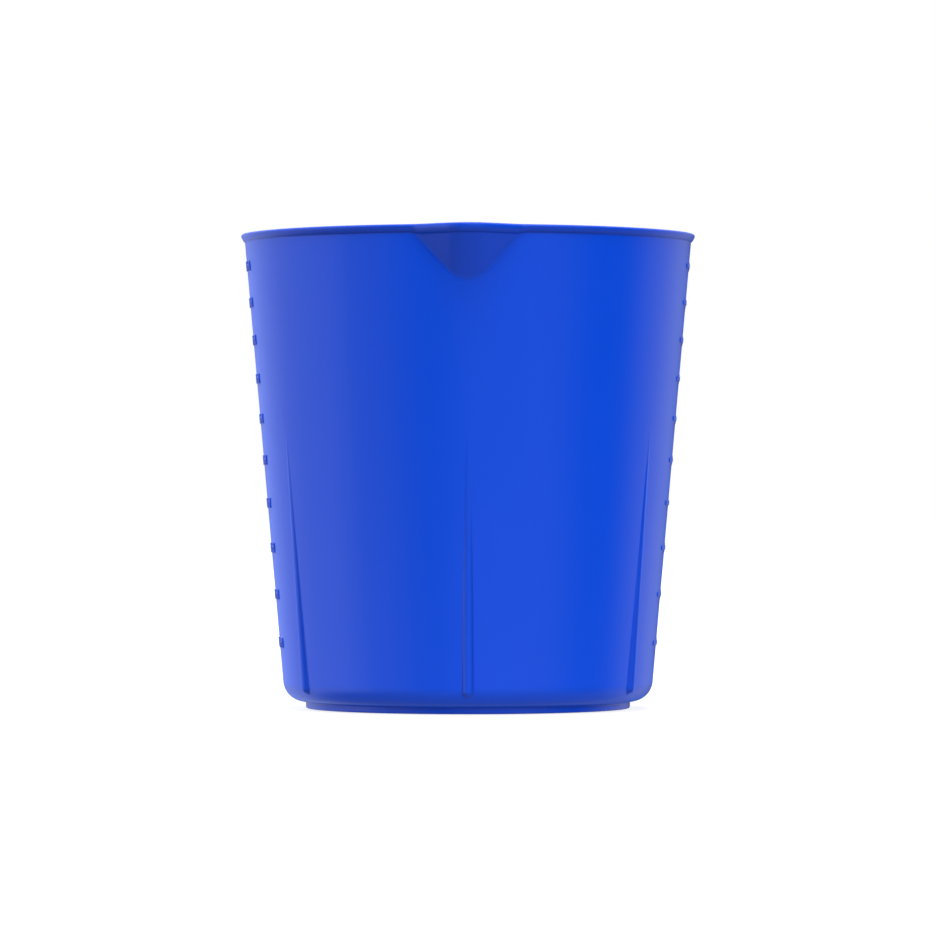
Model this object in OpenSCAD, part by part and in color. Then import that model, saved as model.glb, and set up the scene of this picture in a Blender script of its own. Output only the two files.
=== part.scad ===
// One litre pouring cup with raised volume marks on both sides.
// The axis of the cup is +Z, the foot stands on z = 0 and the spout points to -Y.

/* [Body] */
// Height from the table to the top of the rim
cup_h = 127.5; // [124:0.5:132]
// Radius of the outer wall's line where it would reach the table
base_r = 49.2; // [47:0.1:52]
// Draft of the wall from the vertical, in degrees
draft = 5; // [4:0.1:6]
// Thickness of the moulding
wall_t = 2; // [1.6:0.1:2.4]

/* [Base] */
// Radius of the round corner between wall and base
corner_r = 5.7; // [4.5:0.1:7]
// Outer radius of the foot ring
foot_r = 43.7; // [41:0.1:43.7]
// Height of the foot ring
foot_h = 1.9; // [1.2:0.1:3]
// Width of the foot ring
foot_t = 2; // [1.5:0.1:3]

/* [Rim] */
// How far the lip stands out from the wall
lip_out = 1.03; // [0.6:0.01:1.5]
// Height of the lip, from its lower edge to the top of the rim
lip_h = 2; // [1.6:0.1:3]
// Break on the lip's upper edges
lip_break = 0.25; // [0.1:0.05:0.4]

/* [Spout] */
// Height at which the spout leaves the wall
spout_z = 113.3; // [110:0.1:116]
// Lean of the spout's front line from the vertical, in degrees
spout_lean = 37; // [32:1:40]
// Half angle between the spout's two sides, in degrees
spout_half = 55; // [50:0.2:58]
// Radius between the two sides
spout_r = 9; // [7:0.1:12]
// Height of the lip along the spout
spout_lip_h = 2.4; // [2.2:0.1:3]

/* [Ribs] */
// Number of ribs round the wall, the first under the spout
rib_count = 6; // [6:1:6]
// Height at which a rib sinks into the wall
rib_top = 73.3; // [60:0.1:80]
// Height of the middle of a rib's ball-shaped lower end
rib_foot = 6.2; // [6:0.1:8]
// Width of a rib at its lower end
rib_w = 3; // [2.4:0.1:4]
// How far a rib stands out at its lower end
rib_out = 1.05; // [0.6:0.05:1.4]

/* [Scale] */
// Volume between two marks, in millilitres
mark_ml = 100; // [100:50:100]
// Number of marks on each side
mark_count = 10; // [10:1:10]
// Distance from the side's middle line to the outer end of a tick
tick_start = 11; // [10:0.1:12]
// Length of a tick
tick_l = 10; // [7:0.5:10]
// Height of a tick
tick_h = 1.2; // [0.8:0.1:1.6]
// Height of a numeral
digit_h = 2.6; // [2:0.1:3]
// Width of a numeral
digit_w = 1.7; // [1.4:0.1:1.9]
// Distance from one numeral to the next
digit_pitch = 2.05; // [2:0.05:2.4]
// Stroke of a numeral
digit_s = 0.45; // [0.3:0.05:0.5]
// Distance from the side's middle line to the middle of the number and its unit
text_mid = 6.5; // [6.5:0.1:7]
// Width of the letter m
letter_w = 2.6; // [2.2:0.1:2.8]
// Height of the letter m
letter_h = 1.9; // [1.5:0.1:2]
// Gap between the letters m and l
letter_gap = 0.45; // [0.3:0.05:0.6]
// How far the marks stand out from the wall
mark_out = 0.25; // [0.2:0.05:0.5]

/* [Hidden] */
$fn = 96;
cup_colour = [0.06, 0.28, 0.84];

// The wall's outer and inner radius at a height
slope = tan(draft);
wall_gap = wall_t / cos(draft);
function outer_r(z) = base_r + slope * z;
function inner_r(z) = outer_r(z) - wall_gap;

// The round corner's centre, in radius and height
corner_z = foot_h + corner_r;
corner_c = outer_r(corner_z) - corner_r / cos(draft);
corner_in = corner_r - wall_t;
floor_z = foot_h + wall_t;

// The foot ring's edge breaks, and the floor's radius inside it
foot_edge = 0.4;
foot_in = foot_r - foot_t;
floor_r = foot_in - wall_t;

// The lip: its lower edge on the wall, its outer radius and the end of its slanted underside
lip_z = cup_h - lip_h;
rim_r = outer_r(lip_z) + lip_out;
lip_slant = 1.45;

// The spout: its front line passes through this radius at spout_z
spout_root = outer_r(spout_z);
spout_lip_z = cup_h - spout_lip_h;
spout_depth = 14;
spout_run = 40;
arc_steps = 12;

// Radius of a rib's round ridge, its width at its upper end as a part of rib_w, and the steps round it
rib_r = (rib_w * rib_w / 4 + rib_out * rib_out) / (2 * rib_out);
rib_tip = 0.15;
rib_steps = 6;
rib_names = ["rib_front", "rib_front_right", "rib_back_right", "rib_back", "rib_back_left", "rib_front_left"];

// Height at which the cup holds a volume in cubic millimetres, from the volume of a cone frustum
function fill_z(volume) =
    (pow(3 * slope * volume / PI + pow(inner_r(floor_z), 3), 1 / 3) - inner_r(0)) / slope;
function mark_z(step) = fill_z(step * mark_ml * 1000);
function mark_name(side, step) = str("mark_", side, "_", step * mark_ml);
mark_depth = 2.2;

// Points on an arc, or on part of an ellipse
function ellipse_arc(centre, size, from, to, steps = arc_steps) =
    [for (i = [0:steps])
        let (a = from + (to - from) * i / steps)
        centre + [size.x * cos(a), size.y * sin(a)]];
function arc(centre, r, from, to, steps = arc_steps) = ellipse_arc(centre, [r, r], from, to, steps);

// ---- Solids that the pieces are cut with ----

// The wall's outer cone alone, past both of its ends
module wall_cone(out = 0) {
    cylinder(h = cup_h, r1 = outer_r(0) + out, r2 = outer_r(cup_h) + out, $fn = 256);
}

// The cup's outer surface near the top, with the lip
module rim_solid() {
    rotate_extrude($fn = 256)
        polygon(concat(
            [[0, spout_z - spout_depth], [outer_r(spout_z - spout_depth), spout_z - spout_depth]],
            lip_outline(),
            [[0, cup_h]]
        ));
}

// The lip's outer outline, from the wall to the top of the rim
function lip_outline() = [
    [outer_r(lip_z), lip_z],
    [rim_r, lip_z + lip_slant],
    [rim_r, cup_h - lip_break],
    [rim_r - lip_break, cup_h]
];

// Two sides of the spout's section with the round between them, as a distance from the front line
function spout_section(inset) =
    let (
        r = spout_r - inset,
        turn = 90 - spout_half,
        end_y = spout_depth,
        end_x = (end_y - inset + r * (1 / sin(spout_half) - 1)) * tan(spout_half)
    )
    concat(
        [[end_x, end_y], [-end_x, end_y]],
        arc([0, inset + r], r, -90 - turn, -90 + turn)
    );

// The space inside an outline that leans out along the spout's front line
module spout_prism(inset) {
    translate([0, -spout_root, spout_z])
        rotate([spout_lean, 0, 0])
            translate([0, 0, -spout_run / 2])
                linear_extrude(spout_run)
                    polygon(spout_section(inset));
}

// ---- Pieces ----

module side_wall() {
    color(cup_colour)
        difference() {
            rotate_extrude()
                polygon([
                    [corner_c + corner_r * cos(draft), corner_z - corner_r * sin(draft)],
                    [outer_r(lip_z), lip_z],
                    [inner_r(lip_z), lip_z],
                    [corner_c + corner_in * cos(draft), corner_z - corner_in * sin(draft)]
                ]);
            spout_prism(wall_t);
        }
}

module base_corner() {
    color(cup_colour)
        rotate_extrude()
            polygon(concat(
                [[floor_r, floor_z], [floor_r, foot_h]],
                arc([corner_c, corner_z], corner_r, -90, -draft),
                arc([corner_c, corner_z], corner_in, -draft, -90)
            ));
}

module floor_plate() {
    color(cup_colour)
        translate([0, 0, foot_h])
            cylinder(h = wall_t, r = floor_r);
}

module foot_ring() {
    color(cup_colour)
        rotate_extrude()
            polygon([
                [foot_in, foot_h],
                [foot_in + foot_edge / 2, 0],
                [foot_r - foot_edge, 0],
                [foot_r, foot_edge],
                [foot_r, foot_h - foot_edge],
                [foot_r + foot_edge, foot_h]
            ]);
}

module rim_bead() {
    color(cup_colour)
        difference() {
            rotate_extrude()
                polygon(concat(
                    [[inner_r(lip_z), lip_z]],
                    lip_outline(),
                    [[inner_r(cup_h) + lip_break, cup_h], [inner_r(cup_h - lip_break), cup_h - lip_break]]
                ));
            spout_prism(wall_t);
        }
}

module pour_spout() {
    low = spout_z - wall_t;
    color(cup_colour)
        difference() {
            intersection() {
                spout_prism(0);
                translate([-rim_r, -2 * rim_r, low])
                    cube([2 * rim_r, 2 * rim_r, spout_lip_z - low]);
            }
            spout_prism(wall_t);
            wall_cone();
        }
}

// The spout's outline seen from above at a height, moved out by a distance
function spout_plan(z, out) =
    let (
        tip = spout_root + (z - spout_z) * tan(spout_lean),
        turn = 90 - spout_half,
        far_x = (spout_depth + spout_r * (1 / sin(spout_half) - 1)) * tan(spout_half),
        round_part = [for (i = [0:arc_steps]) -90 - turn + 2 * turn * i / arc_steps],
        flat = concat(
            [[far_x, spout_depth], [-far_x, spout_depth]],
            [for (a = round_part) [spout_r * cos(a), spout_r + spout_r * sin(a)]]
        ),
        facing = concat([-90 + turn, -90 - turn], round_part)
    )
    [for (i = [0:len(flat) - 1])
        let (way = [cos(facing[i]), sin(facing[i]) * cos(spout_lean)])
        [flat[i].x, flat[i].y / cos(spout_lean) - tip] + out * way / norm(way)];

// A closed solid through outlines that all have the same number of points
module loft(outlines, heights) {
    n = len(outlines[0]);
    last = len(outlines) - 1;
    points = [for (k = [0:last]) for (p = outlines[k]) [p.x, p.y, heights[k]]];
    sides = [for (k = [0:last - 1]) for (i = [0:n - 1])
        [k * n + i, (k + 1) * n + i, (k + 1) * n + (i + 1) % n, k * n + (i + 1) % n]];
    polyhedron(
        points,
        concat([[for (i = [0:n - 1]) i]], [[for (i = [n - 1:-1:0]) last * n + i]], sides)
    );
}

module spout_bead() {
    z_out = spout_lip_z + lip_slant;
    color(cup_colour)
        difference() {
            loft(
                [
                    spout_plan(spout_lip_z, 0),
                    spout_plan(spout_lip_z, lip_out),
                    spout_plan(spout_lip_z, lip_out),
                    spout_plan(spout_lip_z, lip_out - lip_break)
                ],
                [spout_lip_z, z_out, cup_h - lip_break, cup_h]
            );
            spout_prism(wall_t);
            rim_solid();
        }
}

// Radius of the cup's outer surface at a height, round corner and all
function surface_r(z) =
    z > corner_z - corner_r * sin(draft)
        ? outer_r(z)
        : corner_c + sqrt(corner_r * corner_r - (corner_z - z) * (corner_z - z));

// A rib's outline at a height, on the -Y side: part of a round bar that is sunk into the wall.
// Where the bar ends as a ball, below is the distance down from the ball's middle.
function rib_outline(z, rise, below) =
    let (
        r = surface_r(z),
        sunk = rib_r - rise,
        half = sqrt(rib_r * rib_r - below * below - sunk * sunk),
        outer = [for (i = [rib_steps:-1:0]) half * cos(180 * i / rib_steps)],
        inner = [half / 2, 0, -half / 2]
    )
    concat(
        [for (x = outer)
            [x, sunk - sqrt(r * r - x * x) - sqrt(rib_r * rib_r - below * below - x * x)]],
        [for (x = inner) [x, -sqrt(r * r - x * x)]]
    );

// One rib on the -Y side: its ridge sinks into the wall towards the top, so it narrows to a point
module rib(turn) {
    ball_part = [for (i = [0:4]) rib_w / 2 * sin(80 - 20 * i)];
    straight_part = [for (i = [1:8]) 1 - (1 - rib_tip) * i / 8];
    lower = [for (below = ball_part) rib_outline(rib_foot - below, rib_out, below)];
    upper = [for (s = straight_part)
        rib_outline(rib_top - (rib_top - rib_foot) * s * s, rib_out * s * s, 0)];
    heights = concat(
        [for (below = ball_part) rib_foot - below],
        [for (s = straight_part) rib_top - (rib_top - rib_foot) * s * s]
    );
    color(cup_colour)
        rotate([0, 0, turn])
            loft(concat(lower, upper), heights);
}

// ---- Numerals ----

digit_x = digit_w - digit_s;
digit_y = digit_h - digit_s;
loop_y = 0.28 * digit_y;

function side_way(a, b) = let (d = (b - a) / norm(b - a)) [-d.y, d.x];

// One edge of a stroke: the path moved sideways, mitred at its corners
function beside(path, out) = [
    for (i = [0:len(path) - 1])
        let (
            before = side_way(path[max(i - 1, 0)], path[max(i, 1)]),
            after = side_way(path[min(i, len(path) - 2)], path[min(i + 1, len(path) - 1)]),
            way = (before + after) / norm(before + after)
        )
        path[i] + way * out / (way * after)
];

module stroke(path) {
    left = beside(path, digit_s / 2);
    right = beside(path, -digit_s / 2);
    polygon(concat(left, [for (i = [len(path) - 1:-1:0]) right[i]]));
}

module loop_stroke(centre, size) {
    half = [digit_s / 2, digit_s / 2];
    difference() {
        polygon(ellipse_arc(centre, size + half, 0, 345, 23));
        polygon(ellipse_arc(centre, size - half, 0, 345, 23));
    }
}

module digit(value) {
    mid = digit_x / 2;
    if (value == 0)
        loop_stroke([mid, digit_y / 2], [mid, digit_y / 2]);
    if (value == 1)
        stroke([[0.1 * digit_x, 0.78 * digit_y], [0.6 * digit_x, digit_y], [0.6 * digit_x, 0]]);
    if (value == 2)
        stroke(concat(
            ellipse_arc([mid, 0.7 * digit_y], [mid, 0.3 * digit_y], 165, -30, 8),
            [[0.08 * digit_x, 0], [digit_x, 0]]
        ));
    if (value == 3) {
        stroke(ellipse_arc([mid, digit_y - 0.25 * digit_y], [mid, 0.25 * digit_y], 150, -90, 8));
        stroke(ellipse_arc([mid, 0.25 * digit_y], [mid, 0.25 * digit_y], 90, -150, 8));
    }
    if (value == 4) {
        stroke([[0.72 * digit_x, 0], [0.72 * digit_x, digit_y]]);
        stroke([[0.72 * digit_x, digit_y], [0.05 * digit_x, 0.3 * digit_y], [digit_x, 0.3 * digit_y]]);
    }
    if (value == 5)
        stroke(concat(
            [[0.92 * digit_x, digit_y], [0.14 * digit_x, digit_y], [0.1 * digit_x, 0.55 * digit_y]],
            ellipse_arc([mid, 0.3 * digit_y], [mid, 0.3 * digit_y], 110, -150, 8)
        ));
    if (value == 6)
        six();
    if (value == 7)
        stroke([[0, digit_y], [digit_x, digit_y], [0.35 * digit_x, 0]]);
    if (value == 8) {
        loop_stroke([mid, loop_y], [mid, loop_y]);
        loop_stroke([mid, digit_y - 0.23 * digit_y], [0.42 * digit_x, 0.23 * digit_y]);
    }
    if (value == 9)
        translate([digit_x, digit_y])
            rotate(180)
                six();
}

module six() {
    centre = [digit_x / 2, loop_y];
    half = [digit_s / 2, digit_s / 2];
    difference() {
        union() {
            polygon(ellipse_arc(centre, centre + half, 0, 345, 23));
            stroke(ellipse_arc([1.03 * digit_x, loop_y], [digit_x, digit_y - loop_y], 180, 105, 8));
        }
        polygon(ellipse_arc(centre, centre - half, 0, 345, 23));
    }
}

// The digits of a whole number, highest first
function digits(value) = value < 10 ? [value] : concat(digits(floor(value / 10)), [value % 10]);

// The letter m, from its lower left corner: three stems under one bar with a round end
function letter_m() =
    let (w = letter_w, h = letter_h, s = digit_s, c = 2 * digit_s, mid = (letter_w - digit_s) / 2)
    concat(
        [[s, 0], [0, 0], [0, h]],
        [for (a = [90:-22.5:0]) [w - c + c * cos(a), h - c + c * sin(a)]],
        [[w, 0], [w - s, 0], [w - s, h - s], [mid + s, h - s]],
        [[mid + s, 0], [mid, 0], [mid, h - s], [s, h - s]]
    );

// Width of a number with its unit
function text_w(numerals) = len(numerals) * digit_pitch + letter_w + letter_gap + digit_s;

// A number and its unit, from their left edge and middle height
module volume_text(numerals) {
    for (i = [0:len(numerals) - 1])
        translate([i * digit_pitch + digit_s / 2, -digit_y / 2])
            digit(numerals[i]);
    translate([len(numerals) * digit_pitch, -digit_h / 2]) {
        polygon(letter_m());
        translate([letter_w + letter_gap, 0])
            square([digit_s, digit_h]);
    }
}

// A tick and its text, drawn on the side's tangent plane and pushed out through the wall
module mark_prism(step) {
    z = mark_z(step);
    numerals = digits(step * mark_ml);
    translate([outer_r(z), 0, z])
        rotate([0, draft, 0])
            rotate([90, 0, 90])
                translate([0, 0, -mark_depth])
                    linear_extrude(mark_depth + 2 * mark_out) {
                        translate([-tick_start, -tick_h / 2])
                            square([tick_l, tick_h]);
                        translate([text_mid - text_w(numerals) / 2, 0])
                            volume_text(numerals);
                    }
}

// One mark on the +X side: the skin of the prism that stands out from the round wall
module mark(step, turn) {
    color(cup_colour)
        rotate([0, 0, turn])
            difference() {
                intersection() {
                    mark_prism(step);
                    wall_cone(mark_out);
                }
                wall_cone();
            }
}

side_wall();
base_corner();
floor_plate();
foot_ring();
rim_bead();
pour_spout();
spout_bead();
for (i = [0:rib_count - 1])
    rib(i * 360 / rib_count);
for (step = [1:mark_count]) {
    mark(step, 180);
    mark(step, 0);
}
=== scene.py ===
"""Looks of the one litre pouring cup: one seamless shell, its raised marks, the camera and the lights.

Lengths in the shape code are millimetres and become metres in new_mesh(). Angles round the cup are measured
from the spout, which points to -Y, and grow towards +X.
"""

import math

import bmesh
import bpy
import numpy as np
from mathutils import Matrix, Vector


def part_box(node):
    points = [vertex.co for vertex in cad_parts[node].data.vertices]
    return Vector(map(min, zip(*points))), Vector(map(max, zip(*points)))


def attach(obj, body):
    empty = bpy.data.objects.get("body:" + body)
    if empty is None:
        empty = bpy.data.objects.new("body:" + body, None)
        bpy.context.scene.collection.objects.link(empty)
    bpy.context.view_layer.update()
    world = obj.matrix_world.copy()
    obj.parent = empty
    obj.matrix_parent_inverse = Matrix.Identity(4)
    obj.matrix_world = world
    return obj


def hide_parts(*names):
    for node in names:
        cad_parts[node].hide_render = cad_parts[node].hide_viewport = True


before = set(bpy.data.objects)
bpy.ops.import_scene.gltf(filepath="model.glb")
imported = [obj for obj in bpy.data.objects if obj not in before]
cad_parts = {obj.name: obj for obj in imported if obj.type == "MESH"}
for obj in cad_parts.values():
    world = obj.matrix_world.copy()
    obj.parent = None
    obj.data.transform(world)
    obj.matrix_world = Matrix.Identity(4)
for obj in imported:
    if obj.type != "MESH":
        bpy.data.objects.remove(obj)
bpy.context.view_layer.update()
M = 0.001


def node_box(node):
    """Lowest and highest corner of a CAD node, in millimetres."""
    low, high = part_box(node)
    return low / M, high / M


# ---- Dimensions, in millimetres ----

rim_low, rim_high = node_box("rim_bead")
spout_low, spout_high = node_box("pour_spout")
rib_low, rib_high = node_box("rib_front")
wall_high = node_box("side_wall")[1]
foot_high = node_box("foot_ring")[1]
floor_high = node_box("floor_plate")[1]

# The wall is a cone of plastic of one thickness
DRAFT = math.radians(5)
SLOPE = math.tan(DRAFT)
WALL_T = 2.0
WALL_GAP = WALL_T / math.cos(DRAFT)
CUP_H = rim_high.z
FLOOR_Z = floor_high.z

# Foot ring: the fillets where it meets the underside, and the round lower edges
FOOT_H = foot_high.z
FOOT_T = 2.0
FOOT_OUT_FILLET = 0.4
FOOT_IN_FILLET = 0.35
FOOT_OUT_EDGE = 0.5
FOOT_IN_EDGE = 0.4
FOOT_R = foot_high.x - FOOT_OUT_FILLET
FOOT_IN = FOOT_R - FOOT_T

# The mark that the moulding's gate leaves in the middle of the underside: (radius, how far it stands down)
GATE = ((0.5, 0.25), (1.4, 0.25), (1.6, 0.05), (1.85, 0))

# Lip round the rim. Its underside slants up and bulges: its rise is this power of the way out.
LIP_Z = rim_low.z
LIP_OUT = rim_high.x - wall_high.x
LIP_SLANT = 1.45
LIP_BULGE = 1.7
# Radius of the rim's outer edge, how much its top is crowned, and radius of its inner edge
LIP_EDGE = 0.42
RIM_CROWN = 0.06
INNER_EDGE = 0.5

# Spout: two flat sides and a round nose, leaning outwards
SPOUT_Z = spout_low.z
SPOUT_LIP_Z = spout_high.z
SPOUT_LEAN = math.radians(37)
SPOUT_HALF = math.radians(55)
SPOUT_R = 9.0
# Angle to each side within which the spout can be, and the radii between which its outline is searched
SPOUT_REACH = math.radians(40)
SEARCH_LOW = 20.0
SEARCH_HIGH = 90.0
HALVINGS = 40

# A rib is part of a round bar of radius RIB_R, sunk into the wall and ending below as a ball
RIB_COUNT = 6
RIB_PITCH = 2 * math.pi / RIB_COUNT
RIB_TOP = 73.3
RIB_LOW = rib_low.z
RIB_W = rib_high.x - rib_low.x
RIB_OUT = 1.05
RIB_R = (RIB_W**2 / 4 + RIB_OUT**2) / (2 * RIB_OUT)
RIB_FOOT = RIB_LOW + RIB_W / 2
# The ridge line is straight, and the rib ends where the line is this share of its height inside the wall
RIB_END = -0.04

# How widely surfaces are blended where they meet
SPOUT_BLEND = 0.4
LIP_BLEND = 0.15
INNER_BLEND = 2.0
RIB_BLEND = 0.08

# Radius of the wall's outer cone where it would meet the ground
BASE_R = wall_high.x - SLOPE * LIP_Z


def outer_line(z):
    """Radius of the wall's outer cone at a height."""
    return BASE_R + SLOPE * z


# Round corner between wall and floor, and the heights at which the wall begins outside and inside
CORNER_R = 5.7
CORNER_IN = CORNER_R - WALL_T
CORNER_Z = FOOT_H + CORNER_R
CORNER_C = outer_line(CORNER_Z) - CORNER_R / math.cos(DRAFT)
WALL_START = CORNER_Z - CORNER_R * math.sin(DRAFT)
INNER_START = CORNER_Z - CORNER_IN * math.sin(DRAFT)
SPOUT_ROOT = outer_line(SPOUT_Z)

# Heights between which the mesh has rows of one spacing
ABOVE_BALLS = 9
ABOVE_RIBS = 76
BELOW_SPOUT = SPOUT_Z - 2
# Above this height the rows follow the lip, which is lower along the spout
BENT_ROWS = 100
# Radii of the mesh's rings on the flat underside and on the flat floor
UNDERSIDE_RINGS = (12, 24, 37, FOOT_IN - 1)
FLOOR_RINGS = (42, 34, 18, 2)

# Spacing of the mesh's columns: in degrees on plain wall and across the spout, in millimetres on the ribs
PLAIN_STEP = 2.0
FRONT_STEP = 0.35
FRONT_HALF = 21
RIDGE_STEP = 0.06
RIDGE_HALF = 0.48
FLANK_STEP = 0.09
FLANK_END = 1.9
# In degrees: a plain column this near a fine one is left out, and two fine ones this near are one
CLEAR_GAP = 0.8
LEAST_GAP = 0.03

# Painted shade: its strength on the foot and on the ribs' flanks, and the slope at which a flank has all of
# it
FOOT_SHADE_PAINT = 0.45
RIB_SHADE_PAINT = 0.56
STEEP = 0.8


# ---- Small helpers ----


def new_mesh(name, verts, faces, smooth=True):
    """A mesh object from vertices in millimetres."""
    mesh = bpy.data.meshes.new(name)
    mesh.from_pydata([tuple(v) for v in np.asarray(verts) * M], [], faces)
    mesh.validate()
    mesh.polygons.foreach_set("use_smooth", [smooth] * len(mesh.polygons))
    mesh.update()
    obj = bpy.data.objects.new(name, mesh)
    bpy.context.scene.collection.objects.link(obj)
    return obj


def smooth_max(a, b, width):
    """The larger of two values, with a round transition where they differ by less than width."""
    near = np.clip(width - np.abs(a - b), 0, None) / width
    return np.maximum(a, b) + near * near * width / 4


def smooth_step(t):
    """0 up to 0, 1 from 1 on, with a soft passage between."""
    t = np.clip(t, 0, 1)
    return t * t * (3 - 2 * t)


def arc_points(centre_r, centre_z, radius, start, end, steps):
    """Points of an arc in a profile, as (radius, height)."""
    angles = np.radians(np.linspace(start, end, steps + 1))
    return [(centre_r + radius * math.cos(a), centre_z + radius * math.sin(a)) for a in angles]


# ---- The cup's surfaces ----


def spout_distance(r, turn, z, move):
    """Signed distance from the spout's two-sided outline, seen along its front line.

    The outline is moved outwards by move, as measured from above.
    """
    x = np.abs(r * np.sin(turn))
    tip = SPOUT_ROOT + (z - SPOUT_Z) * math.tan(SPOUT_LEAN)
    y = (tip - r * np.cos(turn)) * math.cos(SPOUT_LEAN) - SPOUT_R
    along = x * math.sin(SPOUT_HALF) + y * math.cos(SPOUT_HALF)
    side = x * math.cos(SPOUT_HALF) - y * math.sin(SPOUT_HALF)
    reach = np.hypot(x, y)
    distance = np.where(along > 0, side, reach) - SPOUT_R
    # Seen along the front line the move is shorter, by the lean
    way_x = np.where(along > 0, math.cos(SPOUT_HALF), x / np.maximum(reach, 1e-6))
    way_y = np.where(along > 0, math.sin(SPOUT_HALF), y / np.maximum(reach, 1e-6))
    return distance - move * np.hypot(way_x, way_y * math.cos(SPOUT_LEAN))


def spout_radius(turn, z, move=0.0, inset=0.0):
    """Radius at which a ray from the axis leaves the spout's outline at a height, found by halving."""
    low = np.full(turn.shape, SEARCH_LOW)
    high = np.full(turn.shape, SEARCH_HIGH)
    for _ in range(HALVINGS):
        mid = (low + high) / 2
        inside = spout_distance(mid, turn, z, move) < -inset
        low = np.where(inside, mid, low)
        high = np.where(inside, high, mid)
    return (low + high) / 2


def in_front(turn):
    """Where the spout can be."""
    return np.abs(turn) < SPOUT_REACH


def outer_radius(turn, z, out=0.0, blend=SPOUT_BLEND):
    """Radius of the outer surface, spout and all, moved out by a distance."""
    wall = outer_line(z) + out + 0 * turn
    spout = np.where(in_front(turn), spout_radius(turn, z, move=out), 0)
    return smooth_max(wall, spout, blend)


def inner_radius(turn, z):
    """Radius of the inner surface, spout and all."""
    wall = outer_line(z) - WALL_GAP + 0 * turn
    spout = np.where(in_front(turn), spout_radius(turn, z, inset=WALL_T), 0)
    return smooth_max(wall, spout, INNER_BLEND)


def rib_radius(r, turn, z):
    """The surface's radius with the ribs standing on it."""
    share = np.minimum((RIB_TOP - z) / (RIB_TOP - RIB_FOOT), 1)
    rise = RIB_OUT * share
    below = np.clip(RIB_FOOT - z, 0, None)
    near = (turn + RIB_PITCH / 2) % RIB_PITCH - RIB_PITCH / 2
    x = r * np.sin(near)
    inside = RIB_R**2 - x**2 - below**2
    bar = outer_line(z) + rise - RIB_R + np.sqrt(np.clip(inside, 0, None))
    bar = np.where(inside > 0, bar, 0)
    blend = RIB_BLEND * np.clip(3 * rise, 0.1, 1)
    return np.where(share > RIB_END, smooth_max(r, bar, blend), r)


def lip_height(turn):
    """Height at which the lip's underside leaves the wall, lower along the spout."""
    reach = spout_radius(turn, LIP_Z) - outer_line(LIP_Z)
    height = LIP_Z - (LIP_Z - SPOUT_LIP_Z) * smooth_step((reach + 1) / 2)
    return np.where(in_front(turn), height, LIP_Z)


# ---- The shell's mesh ----


def full_turn(angles):
    """Angles brought to the range from -180 to 180 degrees."""
    return (angles + math.pi) % (2 * math.pi) - math.pi


def column_angles():
    """Angles round the cup: coarse on plain wall, fine across the spout and the ribs."""
    coarse = np.radians(np.arange(-180, 180, PLAIN_STEP))
    front = np.radians(np.arange(-FRONT_HALF, FRONT_HALF + 0.01, FRONT_STEP))
    ridge = np.arange(0, RIDGE_HALF, RIDGE_STEP)
    flank = np.arange(RIDGE_HALF, FLANK_END, FLANK_STEP)
    half_rib = np.concatenate([ridge, flank]) / outer_line(RIB_LOW)
    rib = np.concatenate([-half_rib[:0:-1], half_rib])
    ribs = [full_turn(k * RIB_PITCH) + rib for k in range(RIB_COUNT)]
    fine = full_turn(np.concatenate([front, *ribs]))
    gap = np.abs(full_turn(coarse[:, None] - fine[None, :])).min(1)
    angles = np.sort(np.concatenate([coarse[gap > math.radians(CLEAR_GAP)], fine]))
    keep = np.concatenate([[True], np.diff(angles) > math.radians(LEAST_GAP)])
    return angles[keep]


def level_row(r, z, turn):
    """A row round the cup at one height, as (radii, heights)."""
    return np.broadcast_to(r, turn.shape), np.broadcast_to(z, turn.shape)


def foot_profile():
    """The underside from its middle to the foot ring, and the ring, as (radius, height)."""
    points = [(r, FOOT_H - down) for r, down in GATE]
    points += [(r, FOOT_H) for r in UNDERSIDE_RINGS]
    points += arc_points(FOOT_IN - FOOT_IN_FILLET, FOOT_H - FOOT_IN_FILLET, FOOT_IN_FILLET, 90, 0, 4)
    points += arc_points(FOOT_IN + FOOT_IN_EDGE, FOOT_IN_EDGE, FOOT_IN_EDGE, 180, 270, 5)
    points += arc_points(FOOT_R - FOOT_OUT_EDGE, FOOT_OUT_EDGE, FOOT_OUT_EDGE, 270, 360, 6)
    points += arc_points(FOOT_R + FOOT_OUT_FILLET, FOOT_H - FOOT_OUT_FILLET, FOOT_OUT_FILLET, 180, 90, 5)
    return points


def outside_rows(turn, lip_z):
    """Rows from the middle of the underside over foot, corner, ribs and wall to the lip."""
    rows = [level_row(r, z, turn) for r, z in foot_profile()]
    for r, z in arc_points(CORNER_C, CORNER_Z, CORNER_R, -88, -math.degrees(DRAFT), 22):
        rows.append(level_row(rib_radius(r + 0 * turn, turn, z), z, turn))
    heights = np.concatenate([
        np.linspace(WALL_START, ABOVE_BALLS, 7)[1:],
        np.linspace(ABOVE_BALLS, ABOVE_RIBS, 21)[1:],
        np.linspace(ABOVE_RIBS, BELOW_SPOUT, 8)[1:],
        np.linspace(BELOW_SPOUT, LIP_Z, 36)[1:-1],
    ])
    for z in heights:
        bent = BENT_ROWS + (z - BENT_ROWS) * (lip_z - BENT_ROWS) / (LIP_Z - BENT_ROWS)
        row_z = np.where(z > BENT_ROWS, bent, z)
        rows.append((rib_radius(outer_radius(turn, row_z), turn, row_z), row_z))
    return rows


def lip_rows(turn, lip_z):
    """Rows of the lip's slanted underside, from the wall outwards."""
    rows = []
    for t in np.linspace(0, 1, 11):
        r = outer_radius(turn, lip_z, LIP_OUT * t, LIP_BLEND)
        rows.append((r, lip_z + LIP_SLANT * t**LIP_BULGE))
    return rows


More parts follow.
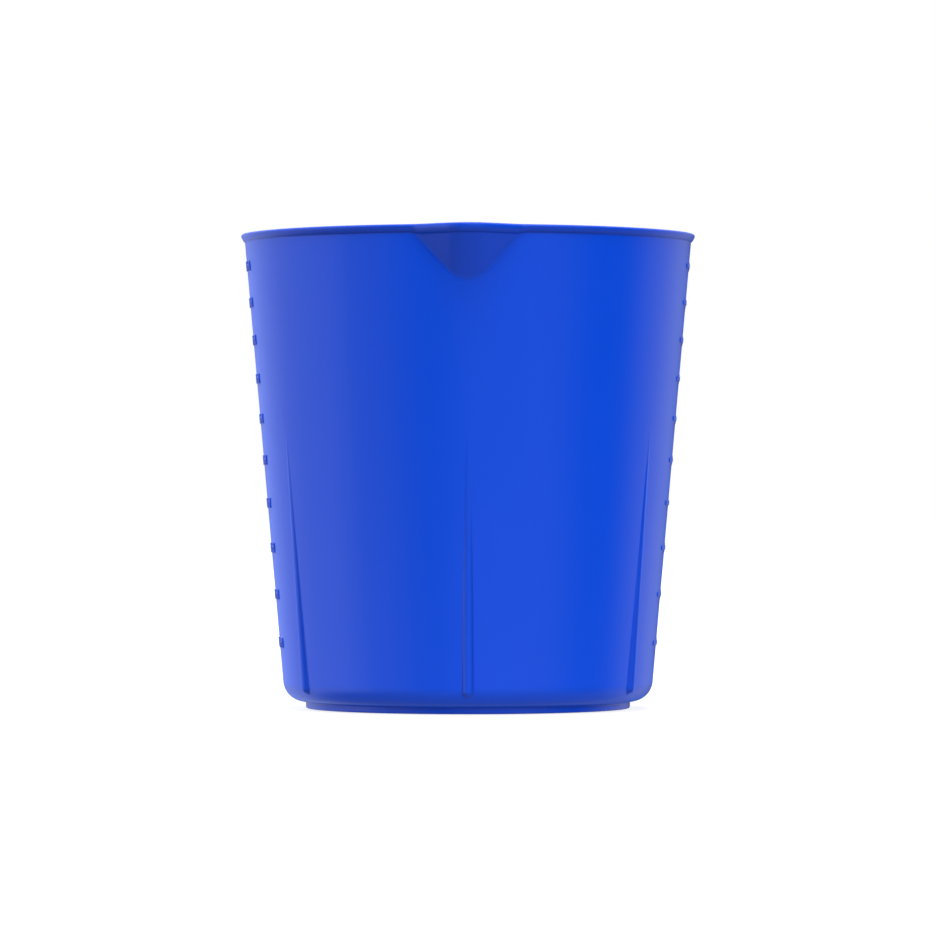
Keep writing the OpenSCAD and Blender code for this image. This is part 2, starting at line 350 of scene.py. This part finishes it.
def rim_rows(turn, lip_z):
    """Rows of the lip's round edge, the slightly crowned top and the round inner edge."""
    rows = []
    for a in np.radians(np.linspace(0, 90, 7)):
        out = LIP_OUT - LIP_EDGE + LIP_EDGE * math.cos(a)
        r = outer_radius(turn, lip_z, out, LIP_BLEND)
        rows.append(level_row(r, CUP_H - LIP_EDGE + LIP_EDGE * math.sin(a), turn))
    outer = outer_radius(turn, lip_z, LIP_OUT - LIP_EDGE, LIP_BLEND)
    inner = inner_radius(turn, CUP_H) + INNER_EDGE
    for t in (0.25, 0.5, 0.75):
        rows.append(level_row(outer + (inner - outer) * t, CUP_H + RIM_CROWN * math.sin(math.pi * t), turn))
    for a in np.radians(np.linspace(90, 0, 7)):
        z = CUP_H - INNER_EDGE + INNER_EDGE * math.sin(a)
        rows.append(level_row(inner_radius(turn, z) + INNER_EDGE * (1 - math.cos(a)), z, turn))
    return rows


def inside_rows(turn):
    """Rows of the inner wall, the inner corner and the floor, to its middle."""
    heights = np.concatenate([
        np.linspace(CUP_H - INNER_EDGE, BELOW_SPOUT, 12)[1:],
        np.linspace(BELOW_SPOUT, INNER_START, 9)[1:],
    ])
    rows = [level_row(inner_radius(turn, z), z, turn) for z in heights]
    points = arc_points(CORNER_C, CORNER_Z, CORNER_IN, -math.degrees(DRAFT), -90, 10)[1:]
    points += [(r, FLOOR_Z) for r in FLOOR_RINGS]
    return rows + [level_row(r, z, turn) for r, z in points]


def crease_shade(r, z, turn):
    """Strength of the painted shade along a row: darker colour on the foot under its ledge and on the ribs'
    steep flanks, where shade falls.
    """
    flank = np.abs(np.gradient(r, turn)) / r
    # Ribs are the only steep places outside the foot's radius and below their tops
    on_ribs = np.where((r > FOOT_R) & (z < RIB_TOP), RIB_SHADE_PAINT * smooth_step(flank / STEEP), 0)
    return np.where((r > FOOT_R - 1) & (z < FOOT_H + 0.01), FOOT_SHADE_PAINT, on_ribs)


def make_shell():
    """The whole moulding but its marks, as one closed mesh, with the painted shade as an attribute."""
    turn = column_angles()
    lip_z = lip_height(turn)
    outside, lip = outside_rows(turn, lip_z), lip_rows(turn, lip_z)
    rest = rim_rows(turn, lip_z) + inside_rows(turn)
    rows = outside + lip + rest
    n = len(turn)
    direction = np.stack([np.sin(turn), -np.cos(turn)], 1)
    verts = [(0.0, 0.0, rows[0][1][0])]
    for r, z in rows:
        verts.extend(np.column_stack([direction * r[:, None], z]))
    verts.append((0.0, 0.0, rows[-1][1][0]))
    faces = [(0, 1 + (i + 1) % n, 1 + i) for i in range(n)]
    for k in range(len(rows) - 1):
        a, b = 1 + k * n, 1 + (k + 1) * n
        for i in range(n):
            j = (i + 1) % n
            faces.append((a + i, a + j, b + j, b + i))
    last, end = 1 + (len(rows) - 1) * n, len(verts) - 1
    faces += [(last + i, last + (i + 1) % n, end) for i in range(n)]
    shell = new_mesh("cup_shell", verts, faces)
    shades = [crease_shade(r, z, turn) for r, z in outside]
    # Painted shade under the lip: strongest where the lip leaves the wall, fading towards its edge
    shades += [np.full(n, 1 - k / len(lip)) for k in range(len(lip))]
    shades += [crease_shade(r, z, turn) for r, z in rest]
    painted_shade = shell.data.attributes.new("painted_shade", "FLOAT", "POINT")
    painted_shade.data.foreach_set("value", np.concatenate([[0.0], *shades, [0.0]]))
    return shell


# ---- Marks ----

# How far they stand out, how far they reach into the wall, and the size of their broken edges
MARK_OUT = 0.25
MARK_SINK = 0.2
MARK_EDGE = 0.07
# Depth to which their shapes are first built, before make_mark() sets them into the wall
LOW_PLANE = -1.0
# Points this near are one, edges this short go, and an edge bent this far is broken
SAME_POINT = 0.002
SHORT_EDGE = 0.001
SHARP = math.radians(35)

# Tick and text. Their places across are measured from where the cup is widest, as seen from the front.
TICK_L = 10.0
TICK_H = 1.2
TICK_START = 11.0
TICK_STEPS = 40
TEXT_MID = 6.5
DIGIT_H = 2.6
DIGIT_W = 1.7
DIGIT_PITCH = 2.05
STROKE = 0.45
DIGIT_X = DIGIT_W - STROKE
DIGIT_Y = DIGIT_H - STROKE
LETTER_W = 2.6
LETTER_H = 1.9
LETTER_GAP = 0.45


def ellipse(centre, size, start, end, steps):
    """Points of an elliptical arc."""
    angles = np.radians(np.linspace(start, end, steps + 1))
    return [Vector((centre[0] + size[0] * math.cos(a), centre[1] + size[1] * math.sin(a))) for a in angles]


def beside(path, out):
    """One edge of a stroke: the path moved sideways, mitred at its corners."""
    ways = []
    for a, b in zip(path, path[1:]):
        d = (b - a).normalized()
        ways.append(Vector((-d.y, d.x)))
    edge = []
    for i, p in enumerate(path):
        before, after = ways[max(i - 1, 0)], ways[min(i, len(ways) - 1)]
        way = (before + after).normalized()
        edge.append(p + way * out / way.dot(after))
    return edge


def digit_strokes(value):
    """Centre lines of a numeral. A closed one repeats its first point."""
    x, y = DIGIT_X, DIGIT_Y
    mid, loop = x / 2, 0.28 * y

    def pt(a, b):
        return Vector((a * x, b * y))

    six = [
        ellipse((mid, loop), (mid, loop), 0, 360, 40),
        ellipse((1.03 * x, loop), (x, y - loop), 180, 105, 14),
    ]
    strokes = {
        0: [ellipse((mid, y / 2), (mid, y / 2), 0, 360, 48)],
        1: [[pt(0.1, 0.78), pt(0.6, 1), pt(0.6, 0)]],
        2: [ellipse((mid, 0.7 * y), (mid, 0.3 * y), 165, -30, 20) + [pt(0.08, 0), pt(1, 0)]],
        3: [
            ellipse((mid, 0.75 * y), (mid, 0.25 * y), 150, -90, 20),
            ellipse((mid, 0.25 * y), (mid, 0.25 * y), 90, -150, 20),
        ],
        4: [[pt(0.72, 0), pt(0.72, 1)], [pt(0.72, 1), pt(0.05, 0.3), pt(1, 0.3)]],
        5: [
            [pt(0.92, 1), pt(0.14, 1), pt(0.1, 0.55)]
            + ellipse((mid, 0.3 * y), (mid, 0.3 * y), 110, -150, 20)
        ],
        6: six,
        7: [[pt(0, 1), pt(1, 1), pt(0.35, 0)]],
        8: [
            ellipse((mid, loop), (mid, loop), 0, 360, 40),
            ellipse((mid, 0.77 * y), (0.42 * x, 0.23 * y), 0, 360, 36),
        ],
        9: [[Vector((x, y)) - p for p in path] for path in six],
    }
    return strokes[value]


def letter_m():
    """Outline of the letter m: three stems under one bar with a round end."""
    w, h, s = LETTER_W, LETTER_H, STROKE
    mid, c = (w - s) / 2, 2 * s
    points = [Vector((s, 0)), Vector((0, 0)), Vector((0, h))]
    points += ellipse((w - c, h - c), (c, c), 90, 0, 8)
    right_gap = [(w, 0), (w - s, 0), (w - s, h - s), (mid + s, h - s)]
    left_gap = [(mid + s, 0), (mid, 0), (mid, h - s), (s, h - s)]
    return points + [Vector(p) for p in right_gap + left_gap]


def letter_l():
    """Outline of the letter l."""
    return [Vector(p) for p in [(STROKE, 0), (0, 0), (0, DIGIT_H), (STROKE, DIGIT_H)]]


def stroke_prism(path, low, high):
    """A closed solid of a stroke's width along its centre line."""
    closed = (path[0] - path[-1]).length < 1e-4
    if closed:
        path = path[:-1]
        ring = [path[-1]] + path + [path[0]]
        left, right = beside(ring, STROKE / 2)[1:-1], beside(ring, -STROKE / 2)[1:-1]
    else:
        left, right = beside(path, STROKE / 2), beside(path, -STROKE / 2)
    n = len(left)
    verts = [(p.x, p.y, z) for z in (low, high) for side in (left, right) for p in side]
    ll, lr, hl, hr = 0, n, 2 * n, 3 * n
    faces = []
    for i in range(n if closed else n - 1):
        j = (i + 1) % n
        faces += [
            (hl + i, hr + i, hr + j, hl + j),
            (ll + j, lr + j, lr + i, ll + i),
            (ll + i, hl + i, hl + j, ll + j),
            (lr + j, hr + j, hr + i, lr + i),
        ]
    if not closed:
        m = n - 1
        faces += [(ll, lr, hr, hl), (hl + m, hr + m, lr + m, ll + m)]
    return verts, faces


def outline_prism(outline, low, high):
    """A closed solid over a clockwise outline."""
    n = len(outline)
    verts = [(p.x, p.y, z) for z in (low, high) for p in outline]
    faces = [tuple(range(n)), tuple(reversed(range(n, 2 * n)))]
    faces += [(i, n + i, n + (i + 1) % n, (i + 1) % n) for i in range(n)]
    return verts, faces


def tick_prism(low, high):
    """The tick in lengthwise steps, so that it can follow the round wall."""
    xs = np.linspace(-TICK_START, TICK_L - TICK_START, TICK_STEPS + 1)
    section = [(-TICK_H / 2, low), (TICK_H / 2, low), (TICK_H / 2, high), (-TICK_H / 2, high)]
    verts = [(x, y, z) for x in xs for y, z in section]
    faces = [(0, 3, 2, 1), tuple(4 * TICK_STEPS + i for i in range(4))]
    for k in range(TICK_STEPS):
        for i in range(4):
            j = (i + 1) % 4
            faces.append((4 * k + i, 4 * k + j, 4 * k + 4 + j, 4 * k + 4 + i))
    return verts, faces


def joined(objects):
    """One solid from several that overlap."""
    base = objects[0]
    for other in objects[1:]:
        union = base.modifiers.new("join", "BOOLEAN")
        union.operation = "UNION"
        union.solver = "EXACT"
        union.object = other
        bpy.context.view_layer.update()
        mesh = bpy.data.meshes.new_from_object(base.evaluated_get(bpy.context.evaluated_depsgraph_get()))
        base.modifiers.clear()
        base.data = mesh
        bpy.data.objects.remove(other)
    return base


def soft_edged(name, solids):
    """A solid joined from several, with the edges of its top and sides broken."""
    objects = [new_mesh(f"{name}_{i}", verts, faces, smooth=False) for i, (verts, faces) in enumerate(solids)]
    bpy.context.view_layer.update()
    base = joined(objects)
    work = bmesh.new()
    work.from_mesh(base.data)
    bmesh.ops.remove_doubles(work, verts=work.verts, dist=SAME_POINT * M)
    bmesh.ops.dissolve_degenerate(work, edges=work.edges, dist=SHORT_EDGE * M)
    bmesh.ops.recalc_face_normals(work, faces=work.faces)
    sharp = [e for e in work.edges if len(e.link_faces) == 2 and e.calc_face_angle(0) > SHARP]
    sharp = [e for e in sharp if max(v.co.z for v in e.verts) > 0]
    bmesh.ops.bevel(
        work, geom=sharp, offset=MARK_EDGE * M, segments=3, profile=0.5, affect="EDGES", clamp_overlap=True
    )
    bmesh.ops.triangulate(work, faces=[f for f in work.faces if len(f.verts) > 4])
    verts = np.array([v.co for v in work.verts]) / M
    faces = [[v.index for v in f.verts] for f in work.faces]
    work.free()
    bpy.data.objects.remove(base)
    return verts, faces


mark_shapes = {}


def mark_shape(key):
    """The solid of a numeral, a letter or the tick, built once."""
    if key not in mark_shapes:
        if key == "tick":
            solids = [tick_prism(LOW_PLANE, MARK_OUT)]
        elif key == "m":
            solids = [outline_prism(letter_m(), LOW_PLANE, MARK_OUT)]
        elif key == "l":
            solids = [outline_prism(letter_l(), LOW_PLANE, MARK_OUT)]
        else:
            solids = [stroke_prism(path, LOW_PLANE, MARK_OUT) for path in digit_strokes(key)]
        mark_shapes[key] = soft_edged(f"shape_{key}", solids)
    return mark_shapes[key]


def mark_layout(volume):
    """The shapes of a mark and where each goes along the wall and up."""
    numerals = [int(c) for c in str(volume)]
    unit = len(numerals) * DIGIT_PITCH
    text_w = unit + LETTER_W + LETTER_GAP + STROKE
    start = TEXT_MID - text_w / 2
    layout = [("tick", 0.0, 0.0)]
    layout += [(d, start + i * DIGIT_PITCH + STROKE / 2, -DIGIT_Y / 2) for i, d in enumerate(numerals)]
    layout += [("m", start + unit, -DIGIT_H / 2), ("l", start + unit + LETTER_W + LETTER_GAP, -DIGIT_H / 2)]
    return layout


def make_mark(side, volume):
    """A tick, a number and its unit on one side of the cup, equally proud of the round wall all along."""
    name = f"mark_{side}_{volume}"
    low, high = node_box(name)
    middle = (low.z + high.z) / 2
    verts, faces = [], []
    for key, dx, dy in mark_layout(volume):
        points, sides = mark_shape(key)
        faces += [[len(verts) + i for i in f] for f in sides]
        verts += [(p[0] + dx, p[1] + dy, p[2]) for p in points]
    across, level, depth = np.array(verts).T
    height = np.where(depth < LOW_PLANE / 2, -MARK_SINK, depth)
    wall_z = middle + level * math.cos(DRAFT)
    ring = outer_line(wall_z) + height * math.cos(DRAFT)
    placed = np.column_stack([np.sqrt(ring**2 - across**2), across, wall_z - height * math.sin(DRAFT)])
    if side == "left":
        placed[:, :2] *= -1
    return new_mesh(name + "_raised", placed, faces, smooth=False)


# ---- Material ----

BLUE = (0.0038, 0.065, 0.66)
ROUGHNESS = 0.2
# The raised marks are a little rougher than the wall, and their blue is a little darker as painted shade; the
# painted shade in the creases is darker still
MARK_SHADE_PAINT = 0.8
MARK_ROUGHNESS = 0.22
SHADE_PAINT_FACTOR = 0.7
# Clouds of pigment and patches of gloss: scale of the noise, and how far colour or roughness goes up and down
PIGMENT = (22, 0.03)
PATCHES = (60, 0.02)
# The skin's texture: scale of the noise, strength of the bump and its depth in metres
SKIN = (900, 0.04, 0.00003)


def scaled(colour, factor):
    """A colour made lighter or darker, with full alpha."""
    return (*[min(c * factor, 1) for c in colour], 1)


def moulded_plastic(name, colour, roughness):
    """Satin moulded polypropylene: a fine skin texture, faint flow bands, small changes of gloss and painted
    shade in the creases.
    """
    mat = bpy.data.materials.new(name)
    mat.use_nodes = True
    nodes, links = mat.node_tree.nodes, mat.node_tree.links
    nodes.clear()
    out = nodes.new("ShaderNodeOutputMaterial")
    skin = nodes.new("ShaderNodeBsdfPrincipled")
    links.new(skin.outputs["BSDF"], out.inputs["Surface"])
    skin.inputs["IOR"].default_value = 1.49
    # Light that enters the plastic leaves it blue again at glancing angles
    skin.inputs["Sheen Weight"].default_value = 0.65
    skin.inputs["Sheen Roughness"].default_value = 0.35
    skin.inputs["Sheen Tint"].default_value = (0.02, 0.16, 1, 1)
    place = nodes.new("ShaderNodeTexCoord")

    def noise(scale, stretch=(1, 1, 1)):
        squeeze = nodes.new("ShaderNodeMapping")
        squeeze.inputs["Scale"].default_value = stretch
        links.new(place.outputs["Object"], squeeze.inputs["Vector"])
        texture = nodes.new("ShaderNodeTexNoise")
        texture.inputs["Scale"].default_value = scale
        texture.inputs["Detail"].default_value = 2
        links.new(squeeze.outputs["Vector"], texture.inputs["Vector"])
        return texture.outputs["Fac"]

    def spread(value, low, high):
        ramp = nodes.new("ShaderNodeMapRange")
        ramp.interpolation_type = "SMOOTHSTEP"
        ramp.inputs["From Min"].default_value = 0.2
        ramp.inputs["From Max"].default_value = 0.8
        ramp.inputs["To Min"].default_value = low
        ramp.inputs["To Max"].default_value = high
        links.new(value, ramp.inputs["Value"])
        return ramp.outputs["Result"]

    def colour_mix():
        mix = nodes.new("ShaderNodeMix")
        mix.data_type = "RGBA"
        return mix

    # Colour: slightly darker and lighter clouds of pigment, drawn out along the flow from base to rim
    scale, change = PIGMENT
    cloud = noise(scale, (1, 1, 0.25))
    clouds = colour_mix()
    clouds.inputs["A"].default_value = scaled(colour, 1 - change)
    clouds.inputs["B"].default_value = scaled(colour, 1 + change)
    links.new(spread(cloud, 0, 1), clouds.inputs["Factor"])
    # Painted shade: deeper blue where shade falls, beside the ribs, under the lip and on the foot
    painted_shade = nodes.new("ShaderNodeAttribute")
    painted_shade.attribute_name = "painted_shade"
    shade_paint_mix = colour_mix()
    shade_paint_mix.inputs["B"].default_value = scaled(colour, SHADE_PAINT_FACTOR)
    links.new(painted_shade.outputs["Fac"], shade_paint_mix.inputs["Factor"])
    links.new(clouds.outputs["Result"], shade_paint_mix.inputs["A"])
    links.new(shade_paint_mix.outputs["Result"], skin.inputs["Base Color"])
    # Gloss: satin, with soft patches
    scale, change = PATCHES
    links.new(spread(noise(scale), roughness - change, roughness + change), skin.inputs["Roughness"])
    # Skin: the fine texture of a blasted mould
    scale, strength, depth = SKIN
    bump = nodes.new("ShaderNodeBump")
    bump.inputs["Strength"].default_value = strength
    bump.inputs["Distance"].default_value = depth
    links.new(noise(scale), bump.inputs["Height"])
    links.new(bump.outputs["Normal"], skin.inputs["Normal"])
    return mat


# ---- Camera and floor ----

# Camera: its distance from the cup's axis, the width it sees there, its height and the height it looks at
CAMERA_AWAY = 1412.1
VIEW_W = 252.72
CAMERA_Z = 56.9
LOOK_Z = 64.7
SENSOR = 36.0
CAMERA_END = 50

# Floor, in metres: half its width, and its height, just below the cup's foot
FLOOR_HALF = 10.0
FLOOR_LEVEL = -0.0002
FLOOR_WHITE = 0.27
# The glow's strength grows from one distance from the cup to another: (metres, strength)
GLOW_NEAR = (0.3, 0.8)
GLOW_FAR = (1.5, 1.0)


def make_camera():
    """Far back, a little below the middle of the cup, looking very slightly up."""
    data = bpy.data.cameras.new("camera")
    data.sensor_width = SENSOR
    data.lens = SENSOR * CAMERA_AWAY / VIEW_W
    data.clip_end = CAMERA_END
    camera = bpy.data.objects.new("camera", data)
    bpy.context.scene.collection.objects.link(camera)
    eye = Vector((0, -CAMERA_AWAY, CAMERA_Z)) * M
    look = Vector((0, 0, LOOK_Z)) * M
    camera.location = eye
    camera.rotation_euler = (look - eye).to_track_quat("-Z", "Y").to_euler()
    bpy.context.scene.camera = camera


def floor_material():
    """White, with a glow that keeps the cup's shadow faint and hides the floor's far edge."""
    mat = bpy.data.materials.new("floor_white")
    mat.use_nodes = True
    nodes, links = mat.node_tree.nodes, mat.node_tree.links
    skin = nodes["Principled BSDF"]
    skin.inputs["Base Color"].default_value = (FLOOR_WHITE, FLOOR_WHITE, FLOOR_WHITE, 1)
    skin.inputs["Roughness"].default_value = 0.9
    skin.inputs["Specular IOR Level"].default_value = 0.1
    place = nodes.new("ShaderNodeTexCoord")
    reach = nodes.new("ShaderNodeVectorMath")
    reach.operation = "LENGTH"
    links.new(place.outputs["Object"], reach.inputs[0])
    glow = nodes.new("ShaderNodeMapRange")
    glow.inputs["From Min"].default_value, glow.inputs["To Min"].default_value = GLOW_NEAR
    glow.inputs["From Max"].default_value, glow.inputs["To Max"].default_value = GLOW_FAR
    links.new(reach.outputs["Value"], glow.inputs["Value"])
    skin.inputs["Emission Color"].default_value = (1, 1, 1, 1)
    links.new(glow.outputs["Result"], skin.inputs["Emission Strength"])
    return mat


def make_stage():
    """A plain white floor. It shows, but its own glow isn't added to the studio's light from below."""
    half = FLOOR_HALF
    corners = np.array([(-half, -half, 0), (half, -half, 0), (half, half, 0), (-half, half, 0)])
    floor = new_mesh("floor", corners / M, [(0, 1, 2, 3)])
    floor.location.z = FLOOR_LEVEL
    floor.visible_diffuse = False
    floor.visible_glossy = False
    floor.data.materials.append(floor_material())


# ---- Light ----

# Panels: name, degrees to the right of the spout's side, degrees up, and level. Level 1 lights a white card
# that faces the panel fully white. Their size, distance and the point they face are in metres.
PANELS = [
    ("front", 0, 19, 0.29),
    ("key", 40, 19, 0.44),
    ("front_left", -60, 19, 0.17),
    ("left", -115, 15, 0.7),
    ("right", 110, 15, 0.4),
    ("back", -150, 15, 0.65),
    ("high", 0, 62, 0.7),
    ("overhead", 180, 86, 0.35),
]
PANEL_SIZE = 1.2
PANEL_AWAY = 2.5
PANEL_MIDDLE = Vector((0, 0, 0.06))
# The square of floor round the cup that throws light up: its level and its size in metres
FLOOR_GLOW = 0.54
FLOOR_GLOW_SIZE = 0.55

# Brightness of the studio's walls in reflections, in degrees from the spout's side, negative to the left
WALLS = [
    (-180, 0.3),
    (-170, 0.5),
    (-140, 0.72),
    (-110, 0.78),
    (-80, 0.92),
    (-62, 0.5),
    (-45, 0.34),
    (-28, 0.08),
    (-14, 0.05),
    (4, 0.2),
    (25, 0.23),
    (48, 0.24),
    (69, 0.02),
    (88, 0.0),
    (106, 0.34),
    (125, 0.6),
    (145, 0.6),
    (160, 0.35),
    (172, 0.15),
    (180, 0.3),
]
CEILING = 1.3
GROUND = 0.2
# Degrees of elevation between which the ground passes into the walls, and the walls into the ceiling
GROUND_TO_WALLS = (-45, -20)
WALLS_TO_CEILING = (6, 30)


def area_light(name, size, energy):
    """A square light that doesn't show, to the camera or in reflections."""
    data = bpy.data.lights.new(name, "AREA")
    data.shape = "SQUARE"
    data.size = size
    data.energy = energy
    light = bpy.data.objects.new(name, data)
    bpy.context.scene.collection.objects.link(light)
    light.visible_camera = False
    light.visible_glossy = False
    return light


def soft_panel(name, turn, rise, level):
    """A large panel that faces the cup."""
    light = area_light(name, PANEL_SIZE, level * math.pi**2 * PANEL_AWAY**2)
    a, b = math.radians(turn), math.radians(rise)
    away = Vector((math.sin(a) * math.cos(b), -math.cos(a) * math.cos(b), math.sin(b)))
    light.location = PANEL_MIDDLE + away * PANEL_AWAY
    light.rotation_euler = (-away).to_track_quat("-Z", "Y").to_euler()


def floor_glow():
    """Light that the white floor throws up at the cup."""
    light = area_light("floor_glow", FLOOR_GLOW_SIZE, FLOOR_GLOW * math.pi * FLOOR_GLOW_SIZE**2)
    light.location = (0, 0, FLOOR_LEVEL / 2)
    light.rotation_euler = (math.pi, 0, 0)


def make_world():
    """What the plastic reflects: a bright ceiling, walls that differ round the cup, and a dimmer ground."""
    world = bpy.data.worlds.new("studio")
    bpy.context.scene.world = world
    world.use_nodes = True
    # The world is for reflections; the panels do the lighting
    world.cycles_visibility.diffuse = False
    nodes, links = world.node_tree.nodes, world.node_tree.links
    back = nodes["Background"]
    place = nodes.new("ShaderNodeTexCoord")
    split = nodes.new("ShaderNodeSeparateXYZ")
    links.new(place.outputs["Generated"], split.inputs["Vector"])

    def math_node(operation, *values):
        node = nodes.new("ShaderNodeMath")
        node.operation = operation
        for i, value in enumerate(values):
            if isinstance(value, (int, float)):
                node.inputs[i].default_value = value
            else:
                links.new(value, node.inputs[i])
        return node.outputs["Value"]

    def blend(elevations, first, second):
        """The first value below one elevation, the second above the other, and a soft passage between."""
        ramp = nodes.new("ShaderNodeMapRange")
        ramp.interpolation_type = "SMOOTHSTEP"
        ramp.inputs["From Min"].default_value = math.sin(math.radians(elevations[0]))
        ramp.inputs["From Max"].default_value = math.sin(math.radians(elevations[1]))
        links.new(split.outputs["Z"], ramp.inputs["Value"])
        part = ramp.outputs["Result"]
        rest = math_node("SUBTRACT", 1.0, part)
        return math_node("ADD", math_node("MULTIPLY", first, rest), math_node("MULTIPLY", second, part))

    turn = math_node("ARCTAN2", split.outputs["X"], math_node("MULTIPLY", split.outputs["Y"], -1.0))
    ring = nodes.new("ShaderNodeValToRGB")
    ring.color_ramp.interpolation = "CARDINAL"
    steps = ring.color_ramp.elements
    while len(steps) > 1:
        steps.remove(steps[-1])
    for i, (angle, light) in enumerate(WALLS):
        position = (angle + 180) / 360
        step = steps[0] if i == 0 else steps.new(position)
        step.position = position
        step.color = (light, light, light, 1)
    links.new(math_node("ADD", math_node("DIVIDE", turn, 2 * math.pi), 0.5), ring.inputs["Fac"])
    walls = blend(GROUND_TO_WALLS, GROUND, ring.outputs["Color"])
    light = blend(WALLS_TO_CEILING, walls, CEILING)
    # The camera itself sees plain white behind the floor
    path = nodes.new("ShaderNodeLightPath")
    seen = path.outputs["Is Camera Ray"]
    unseen = math_node("SUBTRACT", 1.0, seen)
    links.new(math_node("ADD", math_node("MULTIPLY", light, unseen), seen), back.inputs["Strength"])
    back.inputs["Color"].default_value = (1, 1, 1, 1)


# ---- Build ----

SHELL_NODES = ["side_wall", "base_corner", "floor_plate", "foot_ring", "rim_bead", "pour_spout", "spout_bead"]
RIB_NODES = [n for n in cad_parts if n.startswith("rib_")]

plastic = moulded_plastic("blue_plastic", BLUE, ROUGHNESS)
# The marks are the same blue plastic; their darker colour is painted shade for their shaded sides
mark_plastic = moulded_plastic("blue_plastic_marks_painted_shade", [MARK_SHADE_PAINT * c for c in BLUE], MARK_ROUGHNESS)

shell = make_shell()
shell.data.materials.append(plastic)
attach(shell, "root")
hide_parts(*SHELL_NODES, *RIB_NODES)

for side in ("left", "right"):
    for step in range(1, 11):
        mark = make_mark(side, 100 * step)
        mark.data.materials.append(mark_plastic)
        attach(mark, "root")
        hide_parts(f"mark_{side}_{100 * step}")

make_camera()
make_stage()
make_world()
for name, turn, rise, level in PANELS:
    soft_panel(name, turn, rise, level)
floor_glow()
bpy.context.scene.view_settings.view_transform = "Standard"
